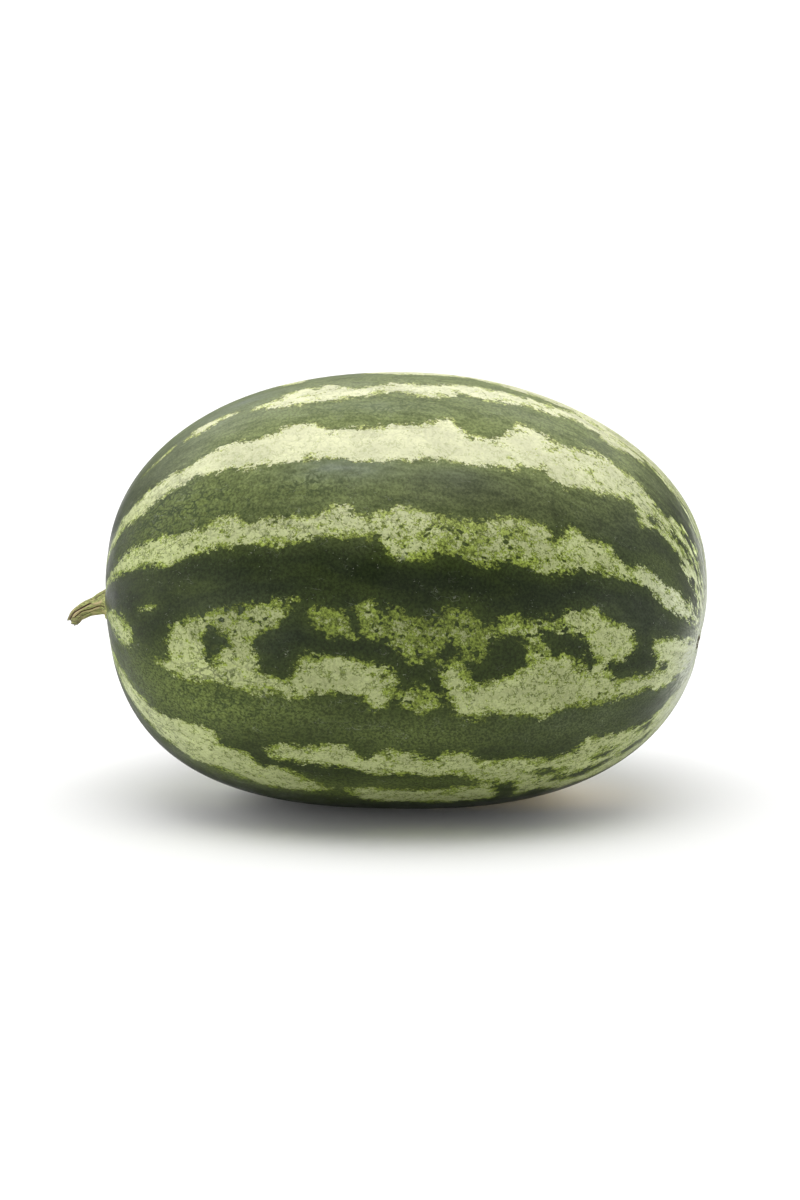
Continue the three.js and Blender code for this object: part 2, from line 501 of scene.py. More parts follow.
class StageSettings(bpy.types.PropertyGroup):
    """The floor, the light and the camera."""

    elevation: FloatProperty(
        name="Camera Elevation",
        description="Angle of the camera above the floor",
        default=math.radians(12),
        subtype="ANGLE",
    )
    distance: length_setting(
        "Camera Distance", "Distance from the camera to the middle of the fruit", 2.0
    )
    lens: FloatProperty(
        name="Focal Length",
        description="Focal length of the lens in millimetres, for a frame 36 mm high",
        default=109.8,
        min=20,
    )
    floor_colour: colour_setting("Floor", "Colour of the floor", (0.86, 0.86, 0.86))
    room_light: amount_setting("Room Light", "Brightness of the whole room", 0.1)
    front_light: amount_setting(
        "Front Light", "Brightness of the low light on the camera's side", 3.5
    )
    back_light: amount_setting("Back Light", "Brightness of the raised light behind the fruit", 2.6)
    stem_light: amount_setting(
        "Stem Side Light", "Extra brightness of the room beyond the stem end of the fruit", 1.45
    )
    blossom_light: amount_setting(
        "Blossom Side Light",
        "Extra brightness of the room beyond the blossom end of the fruit",
        1.0,
    )
    top_light: amount_setting("Top Light", "Brightness of the soft light overhead", 5.6)


# ---------------------------------------------------------------------------------------------
# Shape of the fruit


def smooth_step(value):
    """A smooth rise from 0 to 1 as the value goes from 0 to 1."""
    share = np.clip(value, 0, 1)
    return share * share * (3 - 2 * share)


def fruit_surface(along, around):
    """Points of the skin, from angles in radians: along from the stem pole to the blossom pole,
    around from the front over the crown."""
    x = -np.cos(along)
    y = -np.sin(along) * np.cos(around)
    z = np.sin(along) * np.sin(around)
    stem_share = ((1 - x) / 2) ** 3
    blossom_share = ((1 + x) / 2) ** 3
    y = y + stem_share * STEM_POLE[0] + blossom_share * BLOSSOM_POLE[0]
    z = z + stem_share * STEM_POLE[1] + blossom_share * BLOSSOM_POLE[1]
    length = np.sqrt(x * x + y * y + z * z)
    x, y, z = x / length, y / length, z / length
    stem_end = smooth_step(0.5 - x / 1.4)
    underside = smooth_step(0.5 - z / 1.6)
    power = ROUNDNESS + STEM_END_FULLNESS * stem_end + UNDERSIDE_FULLNESS * underside
    reach = (np.abs(x) ** power + np.hypot(y, z) ** power) ** (-1 / power)
    x, y, z = x * reach, y * reach, z * reach
    lean = np.where(z > 0, CROWN_LEAN, UNDERSIDE_LEAN)
    lift = np.where(x < 0, STEM_END_LIFT, BLOSSOM_END_LIFT)
    return np.stack(
        (
            (HALF_LENGTH - INSET) * x + lean * z * z + MIDDLE,
            (HALF_DEPTH - INSET) * y,
            (HALF_HEIGHT - INSET) * z + lift * x * x + HALF_HEIGHT - FLAT_SPOT_DEPTH,
        ),
        axis=-1,
    )


def surface_steps(along, around):
    """How far the skin moves over two nudges along it and over two nudges round it."""
    across = fruit_surface(along + NUDGE, around) - fruit_surface(along - NUDGE, around)
    up = fruit_surface(along, around + NUDGE) - fruit_surface(along, around - NUDGE)
    return across, up


def pole_point(along):
    """The pole of the fruit at 0 or half a turn along it."""
    return fruit_surface(np.array(along), np.array(0.0))


def half_turn(degrees):
    """The same angle, between -180 and 180 degrees."""
    return (degrees + 180) % 360 - 180


def furrows(from_pole, around, depth, reach, number, start=0.0):
    """Depth of shallow furrows that fan out from a pole of the fruit."""
    wave = 0.5 + 0.5 * np.cos(number * around + start)
    return depth * np.exp(-((from_pole / reach) ** 2)) * wave


def skin_points(along, around, settings):
    """Points of the finished skin and the directions that face out of it."""
    points = fruit_surface(along, around)
    across, up = surface_steps(along, around)
    outward = np.cross(up, across)
    outward /= np.linalg.norm(outward, axis=-1, keepdims=True)
    middle = np.array((MIDDLE, 0, HALF_HEIGHT))
    outward *= np.sign((outward * (points - middle)).sum(axis=-1, keepdims=True))

    # slow swells, the full shoulder, faint furrows at both ends, and the dimple
    swell = (
        np.sin(3.1 * along + 2 * around + 0.6) * np.sin(2.3 * along + 1.1)
        + 0.7 * np.sin(4 * along - 3 * around + 2.0)
        + 0.5 * np.sin(5 * around + 1.3) * np.sin(along)
    )
    ahead = (along - SHOULDER_PLACE[0]) / SHOULDER_REACH[0]
    aside = (around - SHOULDER_PLACE[1]) / SHOULDER_REACH[1]
    from_stem = np.linalg.norm(points - pole_point(0.0), axis=-1)
    from_blossom = np.linalg.norm(points - pole_point(np.pi), axis=-1)
    height = settings.unevenness * (swell / 2.2 - 1)
    height += SHOULDER_HEIGHT * np.exp(-(ahead**2) - aside**2)
    height -= furrows(from_stem, around, depth=0.0005, reach=0.03, number=9, start=0.8)
    height -= furrows(from_blossom, around, depth=0.0004, reach=0.02, number=11)
    points = points + outward * height[..., None]
    dimple = np.exp(-((from_blossom / settings.dimple_radius) ** 2))
    points[..., 0] -= settings.dimple_depth * dimple
    points[..., 2] = np.maximum(points[..., 2], INSET)
    return points, outward


# ---------------------------------------------------------------------------------------------
# Layout of the pattern. A grid is four arrays, with a value for each point of the skin: its degrees
# along and round the fruit, and the millimetres to a degree along and round it there.


def outline_distance(outline, along, around, mm_along, mm_around):
    """Distance in millimetres from each point of the skin to an outline, positive inside it."""
    corners = np.array(outline, dtype=float)
    middle = corners[:, 1].mean()
    turn = half_turn(around - middle) + middle
    nearest = np.full(along.shape, 1e9)
    inside = np.zeros(along.shape, dtype=bool)
    for start, end in zip(corners, np.roll(corners, -1, axis=0)):
        across = (end[0] - start[0]) * mm_along
        up = (end[1] - start[1]) * mm_around
        from_x = (along - start[0]) * mm_along
        from_y = (turn - start[1]) * mm_around
        share = np.clip((from_x * across + from_y * up) / (across**2 + up**2 + 1e-9), 0, 1)
        nearest = np.minimum(nearest, (from_x - across * share) ** 2 + (from_y - up * share) ** 2)
        if start[1] != end[1]:
            slope = (end[0] - start[0]) / (end[1] - start[1])
            between = (start[1] > turn) != (end[1] > turn)
            inside ^= between & (along < start[0] + slope * (turn - start[1]))
    return np.where(inside, 1, -1) * np.sqrt(nearest)


def far_outlines():
    """Outlines of the stripes of the far side, in lengths that end and start again."""
    chance = np.random.default_rng(12)
    first, last = -8.0, 188.0
    outlines = []
    for middle, half in FAR_STRIPES:
        start = first
        while start < 180:
            length = chance.uniform(45, 110)
            end = last if start + length > 150 else start + length
            spacing = (end - start) / max(4, round((end - start) / 7))
            stops = np.arange(start, end + 1e-6, spacing)
            drift = np.cumsum(chance.normal(0, 0.9, len(stops)))
            drift -= np.linspace(0, drift[-1], len(stops))
            taper = np.ones(len(stops))
            if start > 0:
                taper[:2] = (0.2, 0.7)
            if end < 180:
                taper[-2:] = (0.75, 0.25)
            upper = middle + drift + taper * half * chance.uniform(0.55, 1.35, len(stops))
            lower = middle + drift - taper * half * chance.uniform(0.55, 1.35, len(stops))
            top = list(zip(stops, upper))
            bottom = list(zip(stops, lower))
            outlines.append(top + bottom[::-1])
            start = end + chance.uniform(3, 8)
    return outlines


def stripe_field(*grid):
    """How deep in pale skin each point is, in millimetres, and below zero in dark skin."""
    field = np.full(grid[0].shape, -40.0)
    for outline in list(PALE_OUTLINES) + far_outlines():
        field = np.maximum(field, outline_distance(outline, *grid))
    for outline in SPECKLED_OUTLINES:
        field = np.maximum(field, np.minimum(outline_distance(outline, *grid), -0.2))
    for outline in DARK_OUTLINES:
        field = np.minimum(field, -outline_distance(outline, *grid))
    return field


def soft_spots(places, along, around, mm_along, mm_around):
    """Strength at each point of the skin of a table of soft spots."""
    total = 0
    for middle_along, middle_around, reach_along, reach_around, strength in places:
        ahead = (along - middle_along) * mm_along / reach_along
        aside = half_turn(around - middle_around) * mm_around / reach_around
        total = total + strength * np.exp(-(ahead**2) - aside**2)
    return total


# ---------------------------------------------------------------------------------------------
# Mesh helpers


def tube_faces(rows, columns):
    """Quads between rows of points that close on themselves."""
    row, column = np.meshgrid(np.arange(rows - 1), np.arange(columns), indexing="ij")
    after = (column + 1) % columns
    quads = (
        row * columns + column,
        (row + 1) * columns + column,
        (row + 1) * columns + after,
        row * columns + after,
    )
    return np.stack(quads, axis=-1).reshape(-1, 4)


def closed_tube(name, rows, first, last):
    """A smooth closed mesh from rows of points, with one point at each end."""
    count, columns = rows.shape[:2]
    points = np.concatenate((rows.reshape(-1, 3), [first, last]))
    ring = np.arange(columns)
    after = (ring + 1) % columns
    start = np.full(columns, count * columns)
    finish = start + 1
    last_row = (count - 1) * columns
    faces = tube_faces(count, columns).tolist()
    faces += np.stack((start, ring, after), axis=-1).tolist()
    faces += np.stack((finish, last_row + after, last_row + ring), axis=-1).tolist()
    mesh = bpy.data.meshes.new(name)
    mesh.from_pydata(points.tolist(), [], faces)
    mesh.shade_smooth()
    mesh.update()
    return mesh


def with_ends(values):
    """Values for each point of a closed tube, from its rows: its two end points take a mean."""
    ends = np.stack((values[0].mean(axis=0), values[-1].mean(axis=0)))
    return np.concatenate((values.reshape((-1,) + values.shape[2:]), ends))


def set_values(mesh, name, values):
    layer = mesh.attributes.new(name, "FLOAT", "POINT")
    layer.data.foreach_set("value", np.asarray(values, dtype=np.float32).ravel())


def set_vectors(mesh, name, values):
    layer = mesh.attributes.new(name, "FLOAT_VECTOR", "POINT")
    layer.data.foreach_set("vector", np.asarray(values, dtype=np.float32).ravel())


def set_flow_from_place(mesh):
    """Pattern coordinates that are the places of the points, in millimetres."""
    set_vectors(mesh, "flow", [1000 * np.array(vertex.co) for vertex in mesh.vertices])


def add_piece(name, mesh, slot, *nodes):
    piece = bpy.data.objects.new(name, mesh)
    bpy.context.scene.collection.objects.link(piece)
    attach(piece, "root")
    if nodes:
        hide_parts(*nodes)
    return piece


# ---------------------------------------------------------------------------------------------
# Material helpers


class NodeKit:
    """Adds nodes to one node tree and joins them."""

    def __init__(self, tree):
        self.tree = tree

    def feed(self, socket, value):
        """Join another socket to a socket, or set its value."""
        if isinstance(value, bpy.types.NodeSocket):
            self.tree.links.new(value, socket)
        elif isinstance(value, (int, float)):
            socket.default_value = value
        else:
            fitted = tuple(value)
            if socket.type == "RGBA" and len(fitted) == 3:
                fitted += (1.0,)
            socket.default_value = fitted

    def node(self, kind, inputs, **settings):
        """A new node with these inputs and settings."""
        made = self.tree.nodes.new(kind)
        for key, value in settings.items():
            setattr(made, key, value)
        for key, value in inputs.items():
            self.feed(made.inputs[key], value)
        return made

    def maths(self, operation, total, *values):
        """One operation, run through the values from left to right."""
        for value in values:
            made = self.node("ShaderNodeMath", {0: total, 1: value}, operation=operation)
            total = made.outputs[0]
        return total

    def times(self, *values):
        return self.maths("MULTIPLY", *values)

    def plus(self, *values):
        return self.maths("ADD", *values)

    def minus(self, *values):
        return self.maths("SUBTRACT", *values)

    def ramp(self, value, low, high, start=0.0, end=1.0):
        """A smooth change from start to end as the value goes from low to high."""
        inputs = {
            "Value": value,
            "From Min": low,
            "From Max": high,
            "To Min": start,
            "To Max": end,
        }
        made = self.node("ShaderNodeMapRange", inputs, interpolation_type="SMOOTHSTEP")
        return made.outputs["Result"]


class Recipe(NodeKit):
    """The node tree of one new material. Sizes of patterns are in the units of the coordinates."""

    def __init__(self, name):
        self.material = bpy.data.materials.new(name)
        self.material.use_nodes = True
        super().__init__(self.material.node_tree)
        self.shader = self.tree.nodes["Principled BSDF"]

    def value(self, name):
        """A value that is stored on the points of the mesh."""
        return self.node("ShaderNodeAttribute", {}, attribute_name=name).outputs["Fac"]

    def vector(self, name):
        return self.node("ShaderNodeAttribute", {}, attribute_name=name).outputs["Vector"]

    def stretched(self, vector, scale):
        """Coordinates whose patterns are drawn out where the scale is below one."""
        made = self.node("ShaderNodeVectorMath", {0: vector, 1: scale}, operation="MULTIPLY")
        return made.outputs[0]

    def shifted(self, vector, offset):
        """Coordinates moved to another place in the pattern."""
        made = self.node("ShaderNodeVectorMath", {0: vector, 1: offset}, operation="ADD")
        return made.outputs[0]

    def noise(self, vector, size, detail=2.0, roughness=0.5):
        inputs = {
            "Vector": vector,
            "Scale": 1 / size,
            "Detail": detail,
            "Roughness": roughness,
        }
        return self.node("ShaderNodeTexNoise", inputs).outputs["Fac"]

    def drift(self, vector, size, reach, detail=2.0, roughness=0.5):
        """Noise about zero, scaled so that its extremes are one reach apart."""
        centred = self.minus(self.noise(vector, size, detail, roughness), 0.5)
        return self.times(centred, reach)

    def cells(self, vector, size, feature="F1"):
        """Distance from the middles of round cells, or from the edges between them."""
        inputs = {"Vector": vector, "Scale": 1 / size}
        return self.node("ShaderNodeTexVoronoi", inputs, feature=feature).outputs["Distance"]

    def mix(self, share, first, second):
        """A mix of two colours: the Mix node's sixth and seventh inputs and its third output."""
        made = self.node("ShaderNodeMix", {}, data_type="RGBA")
        self.feed(made.inputs[0], share)
        self.feed(made.inputs[6], first)
        self.feed(made.inputs[7], second)
        return made.outputs[2]

    def scaled(self, colour, factor):
        """A colour made lighter or darker."""
        made = self.node("ShaderNodeVectorMath", {0: colour}, operation="SCALE")
        self.feed(made.inputs["Scale"], factor)
        return made.outputs[0]

    def bump(self, height, distance):
        made = self.node("ShaderNodeBump", {"Height": height, "Distance": distance})
        return made.outputs["Normal"]

    def finish(self, colour, roughness, normal):
        """Join the finished patterns to the shader."""
        self.feed(self.shader.inputs["Base Color"], colour)
        self.feed(self.shader.inputs["Roughness"], roughness)
        self.feed(self.shader.inputs["Normal"], normal)
        return self.material


# ---------------------------------------------------------------------------------------------
# Material of the rind


class RindRecipe(Recipe):
    """Dark green waxy skin with pale stripes, ragged and flecked at their edges.

    Sizes of patterns are in millimetres. Offsets only keep one pattern from repeating another.
    """

    def __init__(self, settings):
        super().__init__("waxy_rind")
        self.settings = settings
        self.flow = self.vector("flow")
        self.grain = self.stretched(self.flow, (0.66, 1.0, 1.0))
        self.streaks = self.stretched(self.flow, (0.3, 1.0, 1.0))
        self.drawn_out = self.stretched(self.shifted(self.flow, (4, 61, 7)), (0.06, 1.0, 1.0))
        sway = self.node("ShaderNodeTexNoise", {"Vector": self.flow, "Scale": 0.2, "Detail": 2.0})
        self.sway = sway.outputs["Color"]
        self.stripe = self.value("stripe")
        self.sun = self.value("sun")
        self.flecked = self.value("flecked")
        self.cracked = self.value("cracked")
        self.lumps = self.minus(0.52, self.cells(self.swayed(self.grain, 5), 2.9))
        self.lines = self.times(self.drift(self.drawn_out, 4.2, 1.0, 2), self.value("streaked"))
        self.grit = self.noise(self.shifted(self.flow, (5, 90, 7)), 1.5, 4, 0.68)
        self.clods = self.noise(self.shifted(self.flow, (31, 8, 60)), 1.4, 3, 0.65)

    def swayed(self, vector, reach):
        """Coordinates bent by slow noise, so that patterns don't run straight."""
        return self.shifted(vector, self.scaled(self.sway, reach))

    def stripe_depth(self):
        """How deep in pale skin a point is in millimetres, once the edges have wandered."""
        settings = self.settings
        wander = self.drift(self.grain, 15, settings.wander)
        bays = self.drift(self.shifted(self.grain, (70, 3, 9)), 4.6, settings.bays)
        crumbs = self.shifted(self.grain, (8, 55, 2))
        crumbs = self.drift(crumbs, 1.4, settings.crumbs * 0.9, 4, 0.7)
        rounds = self.times(self.lumps, settings.crumbs * 0.15)
        ragged = self.plus(bays, crumbs, rounds)
        ragged = self.times(ragged, self.ramp(self.stripe, -6, -1, 0.2, 1))
        edge = self.times(self.plus(wander, ragged), self.value("ends"))
        return self.plus(edge, self.stripe, self.times(self.lines, 16.0))

    def pitted(self, edge):
        """The same depth, less the small pits where dark skin shows through the pale."""
        holes = self.ramp(self.cells(self.swayed(self.grain, 6), 3.6), 0.2, 0.52, 1, 0)
        places = self.ramp(self.noise(self.shifted(self.flow, (44, 2, 33)), 6, 2), 0.47, 0.58)
        depth = self.ramp(self.flecked, -0.8, 1, 0, self.settings.pits)
        pits = self.times(holes, places, depth)
        return self.minus(self.maths("MINIMUM", edge, 5.0), pits)

    def dark_skin(self):
        """Dark skin, with long streaks of tone, painted top light, grey wax that is partly painted
        sheen, and fine grit.
        """
        settings = self.settings
        slow = self.noise(self.shifted(self.streaks, (11, 40, 5)), 13, 2)
        patchy = self.noise(self.shifted(self.streaks, (60, 8, 21)), 5, 3, 0.6)
        patchy = self.ramp(patchy, 0.35, 0.65, 0.68, 1.25)
        warmth = self.ramp(slow, 0.42, 0.66, 0, 0.3)
        dark = self.mix(warmth, settings.dark, settings.warm_dark)
        dark = self.mix(self.ramp(self.stripe, -9, 1, 0, 0.4), dark, settings.warm_dark)
        # painted top light: the dark bands turn lighter towards the top
        dark = self.mix(self.times(self.sun, patchy), dark, settings.painted_lit_dark)
        dark = self.mix(self.value("fresh"), dark, settings.fresh_green)
        # grey wax, partly painted sheen of the crown and the outline
        bloom = self.times(self.value("bloom"), patchy)
        dark = self.mix(bloom, dark, settings.bloom)

        deep = self.minus(1.0, self.value("deep"))
        # the grit fades under the painted top light and under the grey wax with its painted sheen
        gritty = self.times(
            self.ramp(self.value("fresh"), 0, 0.8, 0.6, 1.0),
            self.ramp(self.sun, 0, 1, 1.0, 0.75),
            self.ramp(bloom, 0, 0.5, 1, 0.5),
            self.ramp(self.grit, 0.37, 0.63, -0.55, 0.6),
        )
        gritty = self.plus(gritty, self.times(self.lumps, 0.15), 1.0)
        return self.scaled(dark, self.times(deep, gritty))

    def pale_tone(self):
        """Brightness of the pale skin and of its fringe."""
        slow = self.noise(self.shifted(self.grain, (3, 70, 41)), 12, 3)
        light = self.plus(self.times(self.value("light"), 0.5), 1.0)
        tone = self.times(self.ramp(slow, 0.3, 0.7, 0.9, 1.08), light)
        # the lumps show less towards the top, under the painted top light
        lumpy = self.times(
            self.ramp(self.clods, 0.35, 0.65, -1, 1),
            self.ramp(self.sun, 0, 1, 0.14, 0.06),
        )
        return self.times(tone, self.plus(lumpy, 1.0))

    def pale_skin(self, tone):
        """Pale skin, dulled by dust, and lighter and creamier towards the top as painted top light.
        """
        pale = self.mix(self.value("dusty"), self.settings.pale, self.settings.dust)
        pale = self.mix(self.sun, pale, self.settings.painted_lit_cream)
        return self.scaled(pale, tone)

    def fringe(self, tone, edge):
        """Olive skin between the dark and the pale, darker towards the dark and lighter towards the
        top as painted top light.
        """
        olive = self.mix(self.sun, self.settings.fringe, self.settings.painted_lit_fringe)
        speckle = self.ramp(self.grit, 0.38, 0.62, 0.4, 1.35)
        olive = self.scaled(olive, self.times(tone, speckle))
        return self.scaled(olive, self.ramp(edge, 0, 2.4, 0.5, 1.1))

    def laced(self, edge, olive, pale):
        """Pale skin whose edges, and most flecked places, turn to a lace of olive lumps."""
        broad = self.drift(self.shifted(self.grain, (9, 9, 33)), 5.5, 12)
        fine = self.drift(self.shifted(self.flow, (77, 8, 60)), 1.0, 13, 3, 0.6)
        lace = self.plus(self.maths("MINIMUM", edge, 6.0), broad)
        lace = self.plus(lace, fine, self.times(self.lumps, -2.5))
        reach = self.ramp(self.flecked, -1, 1.5, 0.6, self.settings.lace)
        lace = self.minus(lace, reach)
        return self.mix(self.ramp(lace, -0.6, 0.9), olive, pale)

    def creased(self, skin, crease_colour):
        """Short curved creases between the lumps of pale skin."""
        creases = self.settings.creases
        net = self.cells(self.swayed(self.flow, 12), 3.2, "DISTANCE_TO_EDGE")
        broken = self.ramp(self.noise(self.shifted(self.flow, (17, 23, 8)), 3.6, 2), 0.46, 0.56)
        # the creases fade towards the top, under the painted top light
        strength = self.ramp(self.sun, 0, 1, creases, creases * 0.4)
        crease = self.times(self.ramp(net, 0.04, 0.15, 1, 0), broken, strength)
        return self.mix(crease, skin, crease_colour)

    def crack_net(self, skin):
        """A net of fine cracks between lighter scales, and the strength of the cracks."""
        settings = self.settings
        net = self.cells(self.swayed(self.grain, 7), 4.8, "DISTANCE_TO_EDGE")
        torn = self.ramp(self.noise(self.flow, 8, 2), 0.38, 0.54)
        cracks = self.times(self.ramp(net, 0.04, 0.15, 1, 0), torn, self.cracked)
        scales = self.times(self.ramp(net, 0.08, 0.35, 0, 0.3), self.cracked)
        skin = self.mix(scales, skin, self.mix(0.5, skin, settings.fringe))
        lined = self.times(cracks, 0.85)
        return self.mix(lined, skin, self.scaled(settings.dark, 2.2)), cracks

    def corky_marks(self, skin):
        """Corky dots and fine rubbed scratches."""
        places = self.ramp(self.noise(self.shifted(self.flow, (3, 3, 3)), 19, 3), 0.46, 0.62)
        dots = self.ramp(self.cells(self.swayed(self.flow, 14), 3.0), 0.06, 0.14, 1, 0)
        dots = self.times(dots, places, 0.35)
        strands = self.stretched(self.swayed(self.flow, 9), (0.07, 1.0, 1.0))
        hairs = self.ramp(self.cells(strands, 7.0, "DISTANCE_TO_EDGE"), 0.0, 0.018, 1, 0)
        rubbed = self.ramp(self.noise(self.shifted(self.flow, (50, 3, 3)), 13, 2), 0.55, 0.65)
        marks = self.maths("MAXIMUM", dots, self.times(hairs, rubbed, 0.16))
        return self.mix(marks, skin, self.settings.cork)

    def streaked(self, skin):
        """Long streaks of tone, and greyer skin in rays round the blossom scar, partly painted
        reflection.
        """
        skin = self.scaled(skin, self.plus(self.times(self.lines, 1.3), 1.0))
        rays = self.ramp(self.noise(self.drawn_out, 3.0, 3), 0.38, 0.62, 0.3, 1.1)
        # greyer rays round the blossom scar, partly painted reflection
        rays = self.times(self.value("scarred"), rays)
        return self.mix(rays, skin, self.settings.cork)

    def ground_spot(self, skin):
        """The creamy spot where the fruit lay on the soil, with a mottled edge."""
        mottle = self.drift(self.grain, 9, 0.9, 4, 0.6)
        spot = self.plus(self.value("ground"), mottle)
        tone = self.ramp(self.clods, 0.3, 0.7, 0.85, 1.12)
        earth = self.scaled(self.settings.ground_spot, tone)
        return self.mix(self.ramp(spot, 0.35, 0.75), skin, earth)


def waxy_rind(settings):
    """Layers of the rind, from its stripes to the marks on top of them."""
    recipe = RindRecipe(settings)
    edge = recipe.pitted(recipe.stripe_depth())
    dark = recipe.dark_skin()
    tone = recipe.pale_tone()
    olive = recipe.fringe(tone, edge)
    skin = recipe.laced(edge, olive, recipe.pale_skin(tone))
    skin = recipe.creased(skin, recipe.mix(0.5, dark, olive))
    skin = recipe.mix(recipe.ramp(edge, -0.3, 0.4), dark, skin)
    skin, cracks = recipe.crack_net(skin)
    skin = recipe.ground_spot(recipe.streaked(recipe.corky_marks(skin)))

    dull = recipe.noise(recipe.shifted(recipe.flow, (2, 2, 50)), 22, 4, 0.6)
    rough = recipe.ramp(dull, 0.35, 0.65, settings.gloss - 0.08, settings.gloss + 0.1)
    pore_depth = 0.00007
    pores = recipe.noise(recipe.flow, 0.9, 2, 0.6)
    height = recipe.minus(pores, recipe.times(cracks, 1.5))
    recipe.shader.inputs["Specular IOR Level"].default_value = settings.shine
    return recipe.finish(skin, rough, recipe.bump(height, pore_depth))


# ---------------------------------------------------------------------------------------------
# Rind


def flow_coordinates(along, around, mm_along, girth):
    """Pattern coordinates in millimetres that follow the skin, drawn out towards both poles."""
    reach = 26
    place = np.degrees(along[:, 0])
    near_stem = np.exp(-((place / reach) ** 2))
    near_blossom = np.exp(-(((180 - place) / reach) ** 2))
    drawn_out = 1 - 0.55 * near_stem - 0.5 * near_blossom
    step = np.degrees(np.gradient(along[:, 0]))
    length = np.cumsum(drawn_out * mm_along.mean(axis=1) * step)
    radius = 120 * girth.mean(axis=1) ** 0.35
    return np.stack(
        (
            np.broadcast_to(length[:, None], along.shape),
            radius[:, None] * np.cos(around),
            radius[:, None] * np.sin(around),
        ),
        axis=-1,
    )


def grow_rind(settings):
    """The skin of the fruit, whose points hold the layout of its pattern."""
    rings, slices = settings.rings, settings.slices
    share = np.arange(1, rings) / rings
    crowding = 0.35 * np.sin(2 * np.pi * share) / (2 * np.pi)
    along = np.pi * (share - crowding)
    around = 2 * np.pi * np.arange(slices) / slices - np.pi / 2
    along, around = np.meshgrid(along, around, indexing="ij")
    points, _ = skin_points(along, around, settings)
    stem = pole_point(0.0)
    blossom = pole_point(np.pi) - np.array((settings.dimple_depth, 0, 0))
    mesh = closed_tube("fruit_skin", points, stem, blossom)

    per_degree = 1000 * math.radians(1) / (2 * NUDGE)
    mm_along, mm_around = (
        np.linalg.norm(step, axis=-1) * per_degree for step in surface_steps(along, around)
    )
    girth = np.clip(mm_around / mm_around.max(), 0.02, 1)
    grid = (np.degrees(along), np.degrees(around), mm_along, mm_around)
    from_blossom = 1000 * np.linalg.norm(points - blossom, axis=-1)
    # Greyer skin round the blossom scar, partly painted reflection
    halo = 0.5 * np.exp(-((from_blossom / 10) ** 2)) + 0.34 * np.exp(-((from_blossom / 28) ** 2))
    ahead = (grid[0] - GROUND_PLACE[0]) / GROUND_REACH[0]
    aside = half_turn(grid[1] - GROUND_PLACE[1]) / GROUND_REACH[1]
    layers = {
        "stripe": stripe_field(*grid),
        "ends": girth**0.6,
        "cracked": soft_spots(CRACKED_PLACES, *grid),
        "flecked": soft_spots(FLECKED_PLACES, *grid),
        "fresh": np.clip(soft_spots(FRESH_PLACES, *grid), 0, 1),
        "deep": soft_spots(DEEP_PLACES, *grid),
        # grey wax on the dark skin, partly painted sheen
        "bloom": soft_spots(BLOOM_AND_SHEEN_PLACES, *grid),
        "light": soft_spots(LIGHT_PLACES, *grid),
        "dusty": np.clip(soft_spots(DUSTY_PLACES, *grid), 0, 1),
        "streaked": soft_spots(STREAKED_PLACES, *grid),
        # greyer skin by the blossom scar, partly painted reflection
        "scarred": np.clip(halo + soft_spots(SCARRED_AND_SHEEN_PLACES, *grid), 0, 1),
        "ground": np.clip(1.5 - np.hypot(ahead, aside), 0, 1),
        # painted top light: how much the skin is lightened towards the top
        "sun": smooth_step((points[..., 2] - PAINTED_LIGHT_HEIGHT) / PAINTED_LIGHT_FADE),
    }
    for name, values in layers.items():
        set_values(mesh, name, with_ends(values))
    set_vectors(mesh, "flow", with_ends(flow_coordinates(along, around, mm_along, girth)))
    mesh.materials.append(waxy_rind(settings))
    return add_piece("fruit_skin", mesh, "rind", "fruit")


# ---------------------------------------------------------------------------------------------
# Blossom scar


def corky_scar(settings):
    """Dark brown cork with paler, dry edges."""
    recipe = Recipe("corky_scar")
    flow = recipe.vector("flow")
    grain = recipe.noise(flow, 0.9, 3, 0.65)
    cork = recipe.scaled(settings.cork, recipe.ramp(grain, 0.3, 0.7, 0.45, 1.7))
    skin = recipe.mix(recipe.ramp(recipe.value("outer"), 0.55, 0.85), cork, settings.rim)
    pits = recipe.noise(recipe.shifted(flow, (9, 2, 4)), 0.6, 2, 0.6)
    skin = recipe.mix(recipe.ramp(pits, 0.42, 0.55, 0.5, 0), skin, settings.pits)
    rough = recipe.ramp(grain, 0.3, 0.7, 0.75, 0.95)
    return recipe.finish(skin, rough, recipe.bump(grain, 0.00015))


